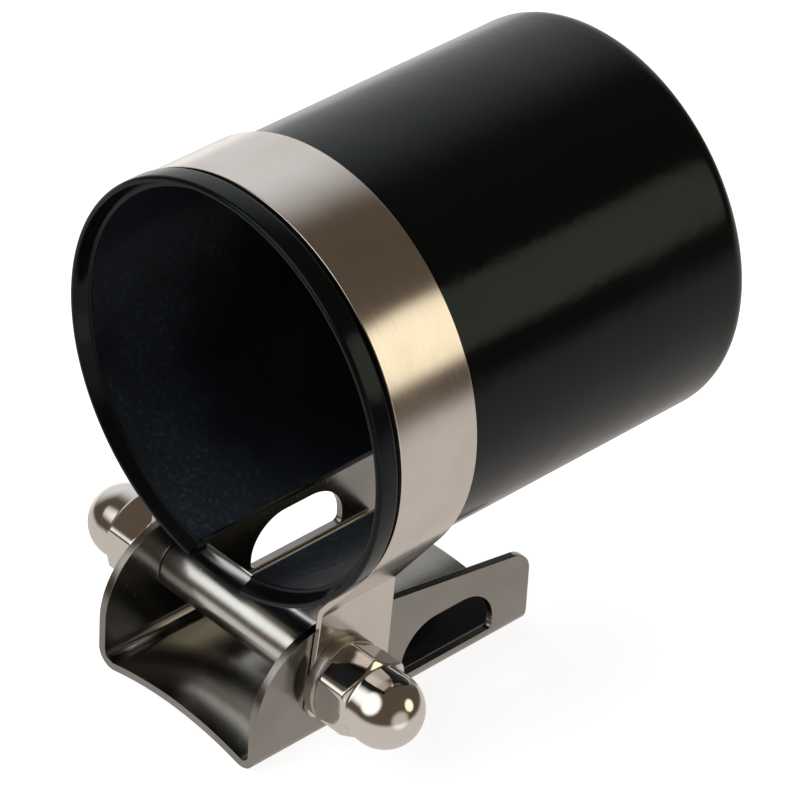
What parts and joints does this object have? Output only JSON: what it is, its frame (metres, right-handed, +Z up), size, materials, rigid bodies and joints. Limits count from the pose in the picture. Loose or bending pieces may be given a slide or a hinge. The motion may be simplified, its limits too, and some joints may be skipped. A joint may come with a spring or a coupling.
{
  "type": "gauge mounting cup",
  "caption": "Round gauge cup held by a strap clamp that pivots on a stud through a saddle bracket for a round column.",
  "frame": {"origin": "centre of the gauge bore at the floor of the bezel seat", "axes": "+Z up from the saddle towards the cup, -Y out of the cup's mouth, X along the pivot stud"},
  "size_m": [0.0618, 0.0737, 0.0796],
  "materials": {
    "gloss_black": "gloss black, faint orange peel, duller inside",
    "satin_stainless": "satin, softly polished",
    "polished_stainless": "polished",
    "bright_steel": "ground and polished",
    "washer_steel": "plain zinc",
    "chromed_nut": "bright chrome"
  },
  "bodies": {
    "saddle": {"saddle_bracket": "polished_stainless", "pivot_stud": "bright_steel", "spacer_sleeve": "bright_steel"},
    "clamp": {"strap_clamp": "satin_stainless"},
    "cup": {"gauge_cup_shell": "gloss_black"},
    "right_washer_ride": {"right_washer": "washer_steel"},
    "right_nut": {"right_cap_nut": "chromed_nut"},
    "left_washer_ride": {"left_washer": "washer_steel"},
    "left_nut": {"left_cap_nut": "chromed_nut"}
  },
  "joints": [
    {"name": "cup_tilt", "type": "hinge", "parent": "saddle", "child": "clamp", "pos_m": [0, 0.0055, -0.0392], "axis": [1, 0, 0], "range_deg": [-15, 40]},
    {"name": "cup_slide", "type": "slide", "parent": "clamp", "child": "cup", "axis": [0, 1, 0], "range_m": [-0.03, 0.0006]},
    {"name": "right_washer_travel", "type": "slide", "parent": "saddle", "child": "right_washer_ride", "axis": [1, 0, 0], "range_m": [0, 0.0038]},
    {"name": "right_nut_turn", "type": "hinge", "parent": "right_washer_ride", "child": "right_nut", "pos_m": [0, 0.0055, -0.0392], "axis": [1, 0, 0], "range_deg": [0, 1077]},
    {"name": "left_washer_travel", "type": "slide", "parent": "saddle", "child": "left_washer_ride", "axis": [-1, 0, 0], "range_m": [0, 0.0038]},
    {"name": "left_nut_turn", "type": "hinge", "parent": "left_washer_ride", "child": "left_nut", "pos_m": [0, 0.0055, -0.0392], "axis": [-1, 0, 0], "range_deg": [0, 1077]}
  ],
  "couplings": [
    {"joint": "right_washer_travel", "follows": "right_nut_turn", "m_per_rad": 0.00020213},
    {"joint": "left_washer_travel", "follows": "left_nut_turn", "m_per_rad": 0.00020213}
  ]
}
